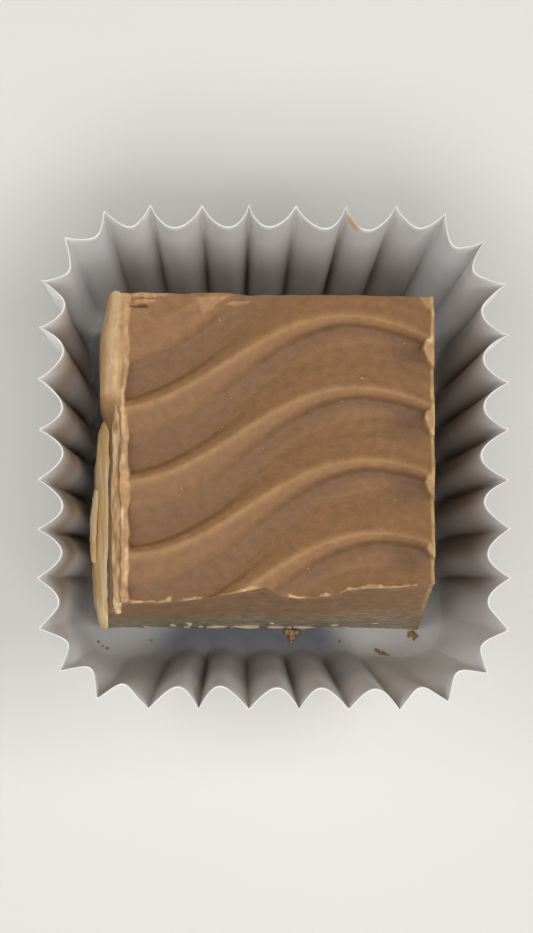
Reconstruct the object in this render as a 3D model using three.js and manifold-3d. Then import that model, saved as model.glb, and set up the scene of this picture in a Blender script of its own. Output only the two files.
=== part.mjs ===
// A nougat cube with a combed top, standing in a square fluted paper case.
// Millimetres, +Z up. The origin is the middle of the case's underside and +Y is the back.

import * as THREE from 'three';
import { mergeVertices } from 'three/addons/utils/BufferGeometryUtils.js';
import Module from 'manifold-3d';

// Nougat cube: its four cut sides at the top edge, and its height to the ridge crests
const CUBE_LEFT = -12.1;
const CUBE_RIGHT = 12.9;
const CUBE_FRONT = -12.4;
const CUBE_BACK = 12.8;
const CUBE_HEIGHT = 19.7;
const REST_GAP = 0.05;

// The left side swells out below its edge, slowly in front and quickly at the back, narrows at its
// back end and is drawn in again at its foot
const SWELL_FRONT = 1.0;
const SWELL_BACK = 2.0;
const SWELL_DEPTH_FRONT = 6;
const SWELL_DEPTH_BACK = 0.9;
const SWELL_CHANGE_FROM = 1.5;
const SWELL_CHANGE_TO = 5;
const NARROWING = 0.45;
const NARROWING_FROM = 9;
const NARROWING_TO = 13.4;
const DRAWN_IN_SHARE = 0.3;
const DRAWN_IN_FROM = 8;
const DRAWN_IN_TO = 19;

// The front side leans back on the right
const FRONT_LEAN_LEFT = -0.2;
const FRONT_LEAN_RIGHT = 1.4;
const CUT_OVERRUN = 0.5;
const SIDE_UNEVENNESS = 0.12;
const UNEVEN_WAVE_UP = 11;
const UNEVEN_WAVE_ALONG = 20;

// Comb: parallel ridges that swing from side to side along the pull
const RIDGE_PITCH = 5.92;
const RIDGE_HEIGHT = 1.2;
const FIRST_RIDGE_Y = 7.12;
const COMB_WAVE = 41;
const COMB_SWING = 3.85;
const COMB_MIDDLE = -3;
const COMB_SLANT = 0.14;

// One ridge from crest to next crest, as shares of the pitch and of the height
const RIDGE_PROFILE = [
  [0, 1],
  [0.37, 0.66],
  [0.45, 0.46],
  [0.92, 0],
  [1, 1],
];
// The steep flank changes from the back of each ridge to its front along this stretch of the pull
const SKEW_FROM = -7;
const SKEW_TO = 3;

// Burrs that the knife dragged up along the top edges
const BURR_WIDTH = 0.8;
const BURR_HEIGHT = 0.5;
const THIN_BURR_WIDTH = 0.4;
const THIN_BURR_HEIGHT = 0.35;
const BURR_INSET = 0.3;

// Flaps at the right edge, in the trough in front of each crest
const FLAP_LENGTH = 2.6;
const FLAP_WIDTH = 1.1;
const FLAP_HEIGHT = 0.55;
const FLAP_OFFSET = 0.8;
const FLAP_COUNT = 4;

// Flakes on the back edge: middle and width along X
const FLAKE_SPOTS = [
  [-10.7, 2.4],
  [-5.6, 2.8],
  [-2.8, 1.5],
];
const FLAKE_REACH = 1.0;
const FLAKE_THICKNESS = 0.45;

// Chip out of the front edge
const CHIP_X = -1.6;
const CHIP_WIDTH = 4.2;
const CHIP_DEPTH = 0.9;

// Shaving that has split off the front half of the left side
const SHAVING_ROOT = new THREE.Vector2(-12.6, 5.5);
const SHAVING_TIP = new THREE.Vector2(-13.7, -12.6);
const SHAVING_INNER_TIP = new THREE.Vector2(-13.35, -12.2);
const SHAVING_SWELL = new THREE.Vector2(-16.2, -5.3);
const SHAVING_BOTTOM = 4.2;
const SHAVING_TOP = 11.5;

// Paper case: half sizes at the base fold and at the rim's outward creases
const PAPER_THICKNESS = 0.3;
const BASE_HALF = 14.5;
const BASE_CORNER = 3.2;
const RIM_HALF_X = 19.35;
const RIM_HALF_Y = 20.9;
const RIM_CORNER = 8.5;
const CASE_HEIGHT = 17;
const FLUTES_PER_SIDE = 9;
const FLUTE_DEPTH = 2.1;
const FLUTE_DEPTH_FRONT = 1.75;
// A power below one makes round columns with narrow creases between them, as at the back
const FLUTE_POWER_FRONT = 1.0;
const FLUTE_POWER_BACK = 0.6;

// Radii of the case's outer and inner skin before they are bent to shape
const OUTER_SKIN = 1;
const INNER_SKIN = 0.5;

// Mesh fineness
const COMB_COLUMNS = 40;
const COMB_REPEATS = 7;
const COMB_REPEATS_IN_FRONT = 4;
const COMB_PULL_LENGTH = 36;
const SIDE_STEPS = 14;
const SIDE_ROWS = 14;
const ROW_CROWDING = 2;
const SETTLING_ROUNDS = 6;
const BURR_STEPS = 26;
const BURR_QUARTER_SEGMENTS = 3;
const LEAF_CURVE_SEGMENTS = 5;
const CHIP_SEGMENTS = 12;
const CHIP_RINGS = 8;
const SHAVING_STEPS = 4;
const SHAVING_CURVE_SEGMENTS = 10;
const COLUMNS_PER_FLUTE = 8;
const WALL_ROWS = 3;

const CUBE_FLOOR = PAPER_THICKNESS + REST_GAP;
const CUBE_TOP = CUBE_FLOOR + CUBE_HEIGHT;

const wasm = await Module();
wasm.setup();

// A closed geometry as a solid for joining and cutting
function toSolid(geometry) {
  const bare = geometry.index ? geometry.toNonIndexed() : geometry.clone();
  bare.deleteAttribute('normal');
  bare.deleteAttribute('uv');
  const merged = mergeVertices(bare, 1e-4);
  const vertProperties = new Float32Array(merged.attributes.position.array);
  const triVerts = new Uint32Array(merged.index.array);
  return new wasm.Manifold(new wasm.Mesh({ numProp: 3, vertProperties, triVerts }));
}

// A finished solid back as a geometry
function toGeometry(solid) {
  const mesh = solid.getMesh();
  const geometry = new THREE.BufferGeometry();
  geometry.setAttribute('position', new THREE.BufferAttribute(mesh.vertProperties, 3));
  geometry.setIndex(new THREE.BufferAttribute(mesh.triVerts, 1));
  geometry.computeVertexNormals();
  return geometry;
}

// Moves every vertex of a geometry to place(point)
function reshape(geometry, place) {
  const position = geometry.attributes.position;
  const point = new THREE.Vector3();
  for (let index = 0; index < position.count; index++) {
    place(point.fromBufferAttribute(position, index));
    position.setXYZ(index, point.x, point.y, point.z);
  }
  return geometry;
}

// Sideways swing of the comb at a place along its pull
function combSwing(pull) {
  return COMB_SWING * Math.sin((2 * Math.PI * (pull - COMB_MIDDLE)) / COMB_WAVE);
}

// Height share of the ridge profile at a share of the pitch
function profileHeight(share) {
  const next = Math.max(1, RIDGE_PROFILE.findIndex(([end]) => end >= share));
  const [start, startHeight] = RIDGE_PROFILE[next - 1];
  const [end, endHeight] = RIDGE_PROFILE[next];
  return THREE.MathUtils.mapLinear(share, start, end, startHeight, endHeight);
}

// Height of the combed surface at a place along the pull, so many pitches behind the first ridge.
// Past the ridge behind that one the comb has left the nougat level with its crests.
function combedHeight(pull, pitches) {
  const behindCrest = pitches < 1 ? pitches - Math.floor(pitches) : 0;
  const skew = THREE.MathUtils.smoothstep(pull, SKEW_FROM, SKEW_TO);
  const steepBack = profileHeight(1 - behindCrest);
  const steepFront = profileHeight(behindCrest);
  const share = THREE.MathUtils.lerp(steepBack, steepFront, skew);
  return CUBE_TOP - RIDGE_HEIGHT * (1 - share);
}

// Height of the top surface at a point of the plan
function topHeight(x, y) {
  const pull = x + COMB_SLANT * y;
  return combedHeight(pull, (y - combSwing(pull) - FIRST_RIDGE_Y) / RIDGE_PITCH);
}

// Y of a ridge's crest at a width, found by settling the slant of the comb
function crestY(x, ridge) {
  let y = FIRST_RIDGE_Y - ridge * RIDGE_PITCH;
  for (let round = 0; round < SETTLING_ROUNDS; round++) {
    y = FIRST_RIDGE_Y - ridge * RIDGE_PITCH + combSwing(x + COMB_SLANT * y);
  }
  return y;
}

// Slab of nougat with the combed top, wider than the cube, its rows running along the ridges
function combedSlab() {
  const shares = RIDGE_PROFILE.slice(0, -1).flatMap(([share]) => [share, (1 - share) % 1]);
  const rowShares = [...new Set(shares.map((share) => Number(share.toFixed(4))))].sort((a, b) => a - b);
  const rows = rowShares.length * COMB_REPEATS;
  const slab = new THREE.BoxGeometry(1, 1, 1, COMB_COLUMNS, rows, 1);
  return reshape(slab, (point) => {
    const pull = COMB_PULL_LENGTH * point.x;
    const row = Math.round((point.y + 0.5) * rows);
    const repeat = Math.floor(row / rowShares.length);
    const pitches = repeat - COMB_REPEATS_IN_FRONT + rowShares[row % rowShares.length];
    const y = FIRST_RIDGE_Y + pitches * RIDGE_PITCH + combSwing(pull);
    const z = point.z > 0 ? combedHeight(pull, pitches) : CUBE_FLOOR;
    point.set(pull - COMB_SLANT * y, y, z);
  });
}

// X of the left side at a place from front to back and a height
function leftSide(y, z) {
  const back = THREE.MathUtils.smoothstep(y, SWELL_CHANGE_FROM, SWELL_CHANGE_TO);
  const narrowing = NARROWING * THREE.MathUtils.smoothstep(y, NARROWING_FROM, NARROWING_TO);
  const swell = THREE.MathUtils.lerp(SWELL_FRONT, SWELL_BACK, back) - narrowing;
  const swellDepth = THREE.MathUtils.lerp(SWELL_DEPTH_FRONT, SWELL_DEPTH_BACK, back);
  const depth = Math.max(0, topHeight(CUBE_LEFT, y) - z);
  const drawnIn = DRAWN_IN_SHARE * THREE.MathUtils.smoothstep(depth, DRAWN_IN_FROM, DRAWN_IN_TO);
  return CUBE_LEFT - swell * (1 - Math.exp(-depth / swellDepth)) * (1 - drawnIn);
}

// Y of the front side at a width and height
function frontSide(x, z) {
  const right = THREE.MathUtils.inverseLerp(CUBE_LEFT, CUBE_RIGHT, x);
  const lean = THREE.MathUtils.lerp(FRONT_LEAN_LEFT, FRONT_LEAN_RIGHT, right);
  return CUBE_FRONT + lean * (z / CUBE_TOP);
}

// Block bounded by the four knife cuts, reaching past the slab above and below, its rows close together
// near the top
function cutBlock() {
  const below = CUBE_FLOOR - CUT_OVERRUN;
  const above = CUBE_TOP + CUT_OVERRUN;
  const block = new THREE.BoxGeometry(1, 1, 1, SIDE_STEPS, SIDE_STEPS, SIDE_ROWS);
  return reshape(block, (point) => {
    const z = THREE.MathUtils.lerp(above, below, (0.5 - point.z) ** ROW_CROWDING);
    const flatX = THREE.MathUtils.lerp(CUBE_LEFT, CUBE_RIGHT, point.x + 0.5);
    const flatY = THREE.MathUtils.lerp(CUBE_FRONT, CUBE_BACK, point.y + 0.5);
    const phase = z / UNEVEN_WAVE_UP + (flatX + flatY) / UNEVEN_WAVE_ALONG;
    const hollow = SIDE_UNEVENNESS * Math.sin(2 * Math.PI * phase) ** 2;
    const x = THREE.MathUtils.lerp(leftSide(flatY, z), CUBE_RIGHT - hollow, point.x + 0.5);
    const y = THREE.MathUtils.lerp(frontSide(flatX, z), CUBE_BACK - hollow, point.y + 0.5);
    point.set(x, y, z);
  });
}

// Thin burr with an oval section that follows the top surface from one plan point to another
function burr(start, end, width, height) {
  const points = [];
  for (let step = 0; step <= BURR_STEPS; step++) {
    const place = start.clone().lerp(end, step / BURR_STEPS);
    points.push(new THREE.Vector3(place.x, place.y, topHeight(place.x, place.y)));
  }
  const section = new THREE.Shape().absellipse(0, 0, height / 2, width / 2, 0, 2 * Math.PI, false, 0);
  const route = new THREE.CatmullRomCurve3(points);
  return new THREE.ExtrudeGeometry(section, {
    steps: BURR_STEPS,
    curveSegments: BURR_QUARTER_SEGMENTS,
    bevelEnabled: false,
    extrudePath: route,
  });
}

// Flat leaf of a given thickness, lying in plan
function leafSolid(outline, thickness) {
  return new THREE.ExtrudeGeometry(outline, {
    depth: thickness,
    bevelEnabled: false,
    curveSegments: LEAF_CURVE_SEGMENTS,
  });
}

// Flap at the right edge: half a leaf, flat against the cut, widest near the crest
function rightFlap(ridgeEndY) {
  const y = ridgeEndY - FLAP_OFFSET;
  const leaf = new THREE.Shape();
  leaf.moveTo(0, FLAP_LENGTH / 2);
  leaf.quadraticCurveTo(-FLAP_WIDTH, FLAP_LENGTH / 2, -FLAP_WIDTH, FLAP_LENGTH / 6);
  leaf.quadraticCurveTo(-FLAP_WIDTH, -FLAP_LENGTH / 6, 0, -FLAP_LENGTH / 2);
  leaf.closePath();
  const rise = topHeight(CUBE_RIGHT - FLAP_WIDTH / 2, y);
  const flap = leafSolid(leaf, 2 * FLAP_HEIGHT);
  return flap.translate(CUBE_RIGHT - SIDE_UNEVENNESS / 2, y, rise - FLAP_HEIGHT);
}

// Flake on the back edge: a thin leaf lying half over the edge
function backFlake([middle, width]) {
  const leaf = new THREE.Shape();
  leaf.moveTo(-width / 2, 0);
  leaf.quadraticCurveTo(0, FLAKE_REACH / 2, width / 2, 0);
  leaf.lineTo(width / 6, -FLAKE_REACH);
  leaf.closePath();
  const rise = topHeight(middle, CUBE_BACK - FLAKE_REACH / 2);
  const flake = leafSolid(leaf, FLAKE_THICKNESS);
  return flake.translate(middle, CUBE_BACK - SIDE_UNEVENNESS, rise - FLAKE_THICKNESS / 3);
}

// Shaving on the left side: a curved strip rooted at the back, standing off at the front
function leftShaving() {
  const plan = new THREE.Shape();
  const turnY = (SHAVING_ROOT.y + SHAVING_TIP.y) / 2;
  plan.moveTo(SHAVING_ROOT.x, SHAVING_ROOT.y);
  plan.quadraticCurveTo(SHAVING_INNER_TIP.x, turnY, SHAVING_INNER_TIP.x, SHAVING_INNER_TIP.y);
  plan.lineTo(SHAVING_TIP.x, SHAVING_TIP.y);
  plan.quadraticCurveTo(SHAVING_SWELL.x, SHAVING_SWELL.y, SHAVING_ROOT.x, SHAVING_ROOT.y);
  plan.closePath();
  const strip = new THREE.ExtrudeGeometry(plan, {
    depth: SHAVING_TOP - SHAVING_BOTTOM,
    steps: SHAVING_STEPS,
    bevelEnabled: false,
    curveSegments: SHAVING_CURVE_SEGMENTS,
  });
  return strip.translate(0, 0, SHAVING_BOTTOM);
}

// Chip that broke out of the front edge
function frontChip() {
  const chip = new THREE.SphereGeometry(1, CHIP_SEGMENTS, CHIP_RINGS);
  chip.scale(CHIP_WIDTH / 2, CHIP_DEPTH, CHIP_DEPTH);
  const y = frontSide(CHIP_X, CUBE_TOP);
  return chip.translate(CHIP_X, y, topHeight(CHIP_X, y));
}

// The cube: combed slab cut on four sides, with its burrs, flaps, flakes, shaving and chip
function nougatCube() {
  const leftX = CUBE_LEFT + BURR_INSET;
  const rightX = CUBE_RIGHT - BURR_INSET;
  const frontLeft = new THREE.Vector2(leftX, frontSide(leftX, CUBE_TOP) + BURR_INSET);
  const frontRight = new THREE.Vector2(rightX, frontSide(rightX, CUBE_TOP) + BURR_INSET);
  const backLeft = new THREE.Vector2(leftX, CUBE_BACK - BURR_INSET);
  const backRight = new THREE.Vector2(rightX, CUBE_BACK - BURR_INSET);
  const additions = [
    burr(frontLeft, backLeft, BURR_WIDTH, BURR_HEIGHT),
    burr(frontRight, backRight, THIN_BURR_WIDTH, THIN_BURR_HEIGHT),
    burr(frontLeft, frontRight, THIN_BURR_WIDTH, THIN_BURR_HEIGHT),
    leftShaving(),
    ...FLAKE_SPOTS.map(backFlake),
  ];
  for (let ridge = 0; ridge < FLAP_COUNT; ridge++) {
    additions.push(rightFlap(crestY(CUBE_RIGHT, ridge)));
  }
  let solid = toSolid(combedSlab()).intersect(toSolid(cutBlock()));
  for (const addition of additions) {
    solid = solid.add(toSolid(addition));
  }
  return toGeometry(solid.subtract(toSolid(frontChip())));
}

// Point and outward direction on a rounded rectangle, a turn of 0 to 1 from the middle of the right side
function roundedOutline(turn, halfX, halfY, corner) {
  const quarter = Math.floor(turn * 4) % 4;
  const [reach, span] = quarter % 2 ? [halfY, halfX] : [halfX, halfY];
  const straight = span - corner;
  const arc = (Math.PI / 2) * corner;
  const along = (turn * 4 - Math.floor(turn * 4)) * (straight + arc + reach - corner);
  const angle = THREE.MathUtils.clamp((along - straight) / corner, 0, Math.PI / 2);
  const past = Math.max(0, along - straight - arc);
  const outward = new THREE.Vector2(Math.cos(angle), Math.sin(angle));
  const point = new THREE.Vector2(reach - corner - past, Math.min(along, straight));
  point.addScaledVector(outward, corner);
  const middle = new THREE.Vector2();
  point.rotateAround(middle, (quarter * Math.PI) / 2);
  outward.rotateAround(middle, (quarter * Math.PI) / 2);
  return { point, outward };
}

// The case: a cup turned from one closed profile, then bent to a square with fluted walls
function paperCase() {
  const profile = [new THREE.Vector2(0, 0)];
  for (let row = 0; row <= WALL_ROWS; row++) {
    profile.push(new THREE.Vector2(OUTER_SKIN, (CASE_HEIGHT * row) / WALL_ROWS));
  }
  for (let row = WALL_ROWS; row >= 0; row--) {
    const height = THREE.MathUtils.lerp(PAPER_THICKNESS, CASE_HEIGHT, row / WALL_ROWS);
    profile.push(new THREE.Vector2(INNER_SKIN, height));
  }
  profile.push(new THREE.Vector2(0, PAPER_THICKNESS));
  const flutes = 4 * FLUTES_PER_SIDE;
  const cup = new THREE.LatheGeometry(profile, flutes * COLUMNS_PER_FLUTE);
  cup.rotateX(Math.PI / 2);
  return reshape(cup, (point) => {
    const radius = Math.hypot(point.x, point.y);
    const onAxis = radius < INNER_SKIN / 2;
    if (onAxis) {
      return;
    }
    const onInside = radius < (INNER_SKIN + OUTER_SKIN) / 2;
    const turn = (Math.atan2(point.y, point.x) / (2 * Math.PI) + 1) % 1;
    const rise = point.z / CASE_HEIGHT;
    const halfX = THREE.MathUtils.lerp(BASE_HALF, RIM_HALF_X, rise);
    const halfY = THREE.MathUtils.lerp(BASE_HALF, RIM_HALF_Y, rise);
    const corner = THREE.MathUtils.lerp(BASE_CORNER, RIM_CORNER, rise);
    const { point: edge, outward } = roundedOutline(turn, halfX, halfY, corner);
    const towardsBack = Math.sin(2 * Math.PI * turn);
    const back = (1 + towardsBack) / 2;
    const power = THREE.MathUtils.lerp(FLUTE_POWER_FRONT, FLUTE_POWER_BACK, back);
    const column = Math.abs(Math.cos(flutes * Math.PI * turn)) ** power;
    const depth = THREE.MathUtils.lerp(FLUTE_DEPTH, FLUTE_DEPTH_FRONT, Math.max(0, -towardsBack));
    const inward = depth * rise * column;
    const skin = onInside ? PAPER_THICKNESS : 0;
    edge.addScaledVector(outward, -inward - skin);
    point.set(edge.x, edge.y, point.z);
  });
}

const nougatMaterial = new THREE.MeshStandardMaterial({ color: 0x8e6b4e, roughness: 0.7, metalness: 0 });
const paperMaterial = new THREE.MeshStandardMaterial({ color: 0xe6e2da, roughness: 0.9, metalness: 0 });

const cube = new THREE.Mesh(nougatCube(), nougatMaterial);
cube.name = 'nougat_cube';

const paper = new THREE.Mesh(paperCase(), paperMaterial);
paper.name = 'paper_case';

const sweet = new THREE.Group();
sweet.add(paper, cube);

export default sweet;
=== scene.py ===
# %% [markdown]
# # A nougat cube in its paper case
# A hand-cut cube of brown nut nougat stands in a square fluted paper case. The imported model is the
# frame of this lesson: it is loaded first, and every piece below is worked out in millimetres in the
# same place as the solid that it dresses. Nothing has to be fitted afterwards.

# %% Load the frame
import bpy
import numpy as np
from mathutils import Matrix, Vector


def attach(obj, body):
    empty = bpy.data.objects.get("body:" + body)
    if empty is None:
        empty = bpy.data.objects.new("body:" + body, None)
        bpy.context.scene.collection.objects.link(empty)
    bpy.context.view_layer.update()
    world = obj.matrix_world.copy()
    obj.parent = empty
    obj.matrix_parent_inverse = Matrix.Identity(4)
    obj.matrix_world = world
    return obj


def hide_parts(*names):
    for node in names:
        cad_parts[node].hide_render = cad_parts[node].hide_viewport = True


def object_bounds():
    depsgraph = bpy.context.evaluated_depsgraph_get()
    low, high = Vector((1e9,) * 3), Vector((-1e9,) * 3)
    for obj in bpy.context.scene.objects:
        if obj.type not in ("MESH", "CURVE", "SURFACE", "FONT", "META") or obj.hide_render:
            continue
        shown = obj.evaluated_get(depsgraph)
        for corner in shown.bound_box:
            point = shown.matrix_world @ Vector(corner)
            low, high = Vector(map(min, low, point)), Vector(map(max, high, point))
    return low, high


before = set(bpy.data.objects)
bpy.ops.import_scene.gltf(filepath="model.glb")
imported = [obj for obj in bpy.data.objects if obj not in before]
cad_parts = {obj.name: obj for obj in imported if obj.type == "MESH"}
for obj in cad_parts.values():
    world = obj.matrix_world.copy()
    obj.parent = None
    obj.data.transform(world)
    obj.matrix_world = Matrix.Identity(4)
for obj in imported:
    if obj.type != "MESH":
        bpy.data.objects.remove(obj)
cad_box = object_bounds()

MM = 0.001


def in_mm(box):
    """The corners of a box in millimetres, rounded for printing."""
    return [[round(value / MM, 2) for value in corner] for corner in box]


print("solids:", sorted(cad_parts))
print("box in mm:", in_mm(cad_box))

# %% [markdown]
# ## Camera
# The picture looks down on the cube from high above, a little from its front left, so that the top
# fills the view and only slivers of the front and left sides show. A long lens at the real distance
# gives that mild perspective. The rotation is built from three axes, because a tracking helper would
# turn the picture when the camera looks almost straight down.

# %% Camera
IMAGE_WIDTH = 533
IMAGE_HEIGHT = 933
CAMERA_PLACE = Vector((-21, -65, 468)) * MM
LOOK_AT = Vector((-0.3, 0, 10)) * MM
CASE_SHARE_OF_WIDTH = 0.88

scene = bpy.context.scene
backward = (CAMERA_PLACE - LOOK_AT).normalized()
rightward = Vector((0, 1, 0)).cross(backward).normalized()
upward = backward.cross(rightward)
camera_data = bpy.data.cameras.new("camera")
camera = bpy.data.objects.new("camera", camera_data)
scene.collection.objects.link(camera)
turned = Matrix((rightward, upward, backward)).transposed().to_4x4()
camera.matrix_world = Matrix.Translation(CAMERA_PLACE) @ turned
case_width = cad_box[1].x - cad_box[0].x
view_height = case_width / CASE_SHARE_OF_WIDTH * IMAGE_HEIGHT / IMAGE_WIDTH
camera_data.lens = camera_data.sensor_width * (CAMERA_PLACE - LOOK_AT).length / view_height
scene.camera = camera
print("lens in mm:", round(camera_data.lens, 1))

# %% [markdown]
# ## Light and floor
# The light is soft and white: three wide panels high up on the left, on the right and in front, and a
# faint surround that fills the shadows. Light from there reaches down between the cube and the paper,
# while steep flanks and the foot of the case get less of it. The standard view transform keeps
# colours as they are set, so that they can be compared with the real ones number by number.

# %% Soft light
SURROUND_COLOUR = (1.0, 0.985, 0.965, 1.0)
SURROUND_STRENGTH = 0.2
# Each panel: its place in metres and its power in watts
PANELS = {
    "left_panel": (Vector((-0.95, -0.10, 1.25)), 8.4),
    "right_panel": (Vector((0.95, -0.10, 1.25)), 12.2),
    "front_panel": (Vector((0.00, -0.85, 1.40)), 12.5),
}
PANEL_WIDTH = 1.1
PANEL_DEPTH = 0.8

scene.view_settings.view_transform = "Standard"
surround = bpy.data.worlds.new("surround")
surround.use_nodes = True
background = surround.node_tree.nodes["Background"]
background.inputs["Color"].default_value = SURROUND_COLOUR
background.inputs["Strength"].default_value = SURROUND_STRENGTH
scene.world = surround
for name, (place, watts) in PANELS.items():
    panel_data = bpy.data.lights.new(name, "AREA")
    panel_data.shape = "RECTANGLE"
    panel_data.size = PANEL_WIDTH
    panel_data.size_y = PANEL_DEPTH
    panel_data.energy = watts
    panel = bpy.data.objects.new(name, panel_data)
    panel.location = place
    panel.rotation_euler = (-place).to_track_quat("-Z", "Y").to_euler()
    panel.visible_camera = False
    scene.collection.objects.link(panel)
print("panels:", sorted(PANELS))


# %% [markdown]
# ## Helpers for materials
# Colours are written as the hex values that a picture shows, and one function turns them to the
# linear numbers that the shader needs. One small function adds any node, sets what it is told, and
# links a socket where the given value is another node's output. The short ones after it name what is
# needed again and again: a mix of two colours, a random pattern, a share and a bump. Pattern sizes
# are in millimetres.

# %% Colour and node helpers
def linear(hex_colour):
    """The linear colour of an sRGB hex value: each channel is undone by the sRGB curve."""
    coded = np.array([int(hex_colour[place:place + 2], 16) for place in (1, 3, 5)]) / 255
    plain = np.where(coded <= 0.04045, coded / 12.92, ((coded + 0.055) / 1.055) ** 2.4)
    return (*plain.tolist(), 1.0)


def per_size(millimetres):
    """Scale of a texture whose features are that many millimetres wide."""
    return 1 / (millimetres * MM)


def fill(tree, node, sockets):
    """Fills a node's sockets: with a link where the value is an output, with the value elsewhere."""
    for socket, value in sockets.items():
        if isinstance(value, bpy.types.NodeSocket):
            tree.links.new(value, node.inputs[socket])
        else:
            node.inputs[socket].default_value = value


def add_node(tree, kind, sockets=None, **settings):
    """Adds a node of that kind, gives it its settings and fills its sockets."""
    node = tree.nodes.new("ShaderNode" + kind)
    for name, value in settings.items():
        setattr(node, name, value)
    fill(tree, node, sockets or {})
    return node


def new_material(name):
    """An empty material, its tree, its shader, and the output that says where a point is."""
    material = bpy.data.materials.new(name)
    material.use_nodes = True
    tree = material.node_tree
    return material, tree, tree.nodes["Principled BSDF"], add_node(tree, "TexCoord").outputs["Object"]


# %% Colours, patterns, shares and bumps
# The colour sockets of a Mix node share their names with its other sockets, so they go by number
MIX_SHARE = 0
MIX_FIRST = 6
MIX_SECOND = 7
MIX_RESULT = 2


def mixed(tree, share, first, second, how="MIX"):
    """The colour a share of the way from the first to the second, each a hex value or an output."""
    first, second = [linear(end) if isinstance(end, str) else end for end in (first, second)]
    sockets = {MIX_SHARE: share, MIX_FIRST: first, MIX_SECOND: second}
    return add_node(tree, "Mix", sockets, data_type="RGBA", blend_type=how).outputs[MIX_RESULT]


def noise(tree, where, scale, detail):
    """A soft random pattern from 0 to 1."""
    sockets = {"Vector": where, "Scale": scale, "Detail": detail}
    return add_node(tree, "TexNoise", sockets).outputs["Fac"]


def stretched(tree, where, scales):
    """A place with each axis multiplied, so that a pattern is drawn out along the smallest."""
    return add_node(tree, "Mapping", {"Vector": where, "Scale": scales}).outputs["Vector"]


def share_between(tree, value, start, end, most=1.0, rise="SMOOTHSTEP"):
    """A share that rises from 0 where the value is at the start to the most where it is at the end."""
    sockets = {"Value": value, "From Min": start, "From Max": end, "To Max": most}
    return add_node(tree, "MapRange", sockets, interpolation_type=rise).outputs["Result"]


def bump(tree, height, strength, millimetres, **further):
    """The normal of a surface that carries a pattern as a fine relief of that height."""
    sockets = {"Height": height, "Strength": strength, "Distance": millimetres * MM, **further}
    return add_node(tree, "Bump", sockets).outputs["Normal"]


def noted(tree, titles):
    """The outputs that read the numbers noted at each point of a mesh, by title."""
    return {title: add_node(tree, "Attribute", attribute_name=title).outputs["Fac"] for title in titles}


# %% [markdown]
# The floor is a sheet of pale coated card. It is matt, and its tone drifts a little, so that it does
# not look like an empty background.

# %% Floor
FLOOR_HALF = 3000
FLOOR_DROP = 0.02

floor_card, tree, shader, where = new_material("coated_card")
drift = noise(tree, where, scale=per_size(60), detail=3.0)
fill(tree, shader, {"Base Color": mixed(tree, drift, "#d3d1cd", "#dad8d4"), "Roughness": 0.8})
floor_mesh = bpy.data.meshes.new("floor")
corners = [(-1, -1), (1, -1), (1, 1), (-1, 1)]
floor_points = [(x * FLOOR_HALF * MM, y * FLOOR_HALF * MM, -FLOOR_DROP * MM) for x, y in corners]
floor_mesh.from_pydata(floor_points, [], [(0, 1, 2, 3)])
floor_mesh.materials.append(floor_card)
floor = bpy.data.objects.new("floor", floor_mesh)
scene.collection.objects.link(floor)
print("floor half width in mm:", FLOOR_HALF)


# %% [markdown]
# ## Helpers for shapes
# Every shape is a set of arrays: points in millimetres, four-cornered faces and three-cornered faces.
# A grid of points gives the four-cornered ones, and a fan closes a ring to one point. Soft random
# lines and reliefs make edges ragged, and they are seeded, so each run gives the same piece.

# %% Grids, fans and joining
def grid_faces(rows, columns, around=False):
    """Faces of a grid stored row by row: each takes a point, the next in its row, and both above."""
    last = columns if around else columns - 1
    row, column = np.meshgrid(np.arange(rows - 1), np.arange(last), indexing="ij")
    after = (column + 1) % columns
    corners = [row * columns + column, row * columns + after,
               (row + 1) * columns + after, (row + 1) * columns + column]
    return np.stack([corner.ravel() for corner in corners], axis=1)


def points_at(x, y, z):
    """Points in a row from their three coordinates."""
    return np.stack(np.broadcast_arrays(x, y, z), axis=-1).reshape(-1, 3)


def fan_faces(pole, ring):
    """Triangles from one point to each pair of neighbours on a closed ring."""
    return np.stack([np.full(len(ring), pole), ring, np.roll(ring, -1)], axis=1)


def end_fans(rows, columns, first_pole):
    """Fans that close the first and the last row of a grid that runs around, to two poles."""
    first_ring = np.arange(columns)
    last_ring = first_ring + columns * (rows - 1)
    return np.concatenate([fan_faces(first_pole, first_ring[::-1]), fan_faces(first_pole + 1, last_ring)])


def joined(shapes):
    """Several shapes as one: the points follow each other and the face numbers move up with them."""
    starts = np.cumsum([0] + [len(points) for points, _, _ in shapes])
    points = np.concatenate([shape[0] for shape in shapes])
    quads = np.concatenate([shape[1] + start for shape, start in zip(shapes, starts)])
    triangles = np.concatenate([shape[2] + start for shape, start in zip(shapes, starts)])
    return points, quads, triangles


def make_piece(name, shape, material, notes=None, sharp_degrees=180):
    """A piece that rides on the object: its mesh from arrays, with one number per point by title."""
    points, quads, triangles = shape
    mesh = bpy.data.meshes.new(name)
    mesh.from_pydata((points * MM).tolist(), [], quads.tolist() + triangles.tolist())
    mesh.polygons.foreach_set("use_smooth", np.ones(len(mesh.polygons), dtype=bool))
    mesh.set_sharp_from_angle(angle=np.radians(sharp_degrees))
    for title, values in (notes or {}).items():
        layer = mesh.attributes.new(title, "FLOAT", "POINT")
        layer.data.foreach_set("value", np.asarray(values, dtype=np.float32).ravel())
    mesh.materials.append(material)
    piece = bpy.data.objects.new(name, mesh)
    scene.collection.objects.link(piece)
    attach(piece, "root")
    print(name, "triangles:", 2 * len(quads) + len(triangles))
    return piece


# %% Soft steps and seeded randomness
WANDER_KNOTS = 512
# Places in plan are counted from this far outside the cube, where a pattern has its first knot
START = 80


def smooth_step(value, start, end):
    """0 before start, 1 after end, and an S-shaped rise between them."""
    share = np.clip((value - start) / (end - start), 0, 1)
    return share * share * (3 - 2 * share)


def blend(first, second, share):
    """The value that lies a share of the way from the first to the second."""
    return first + (second - first) * share


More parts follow.
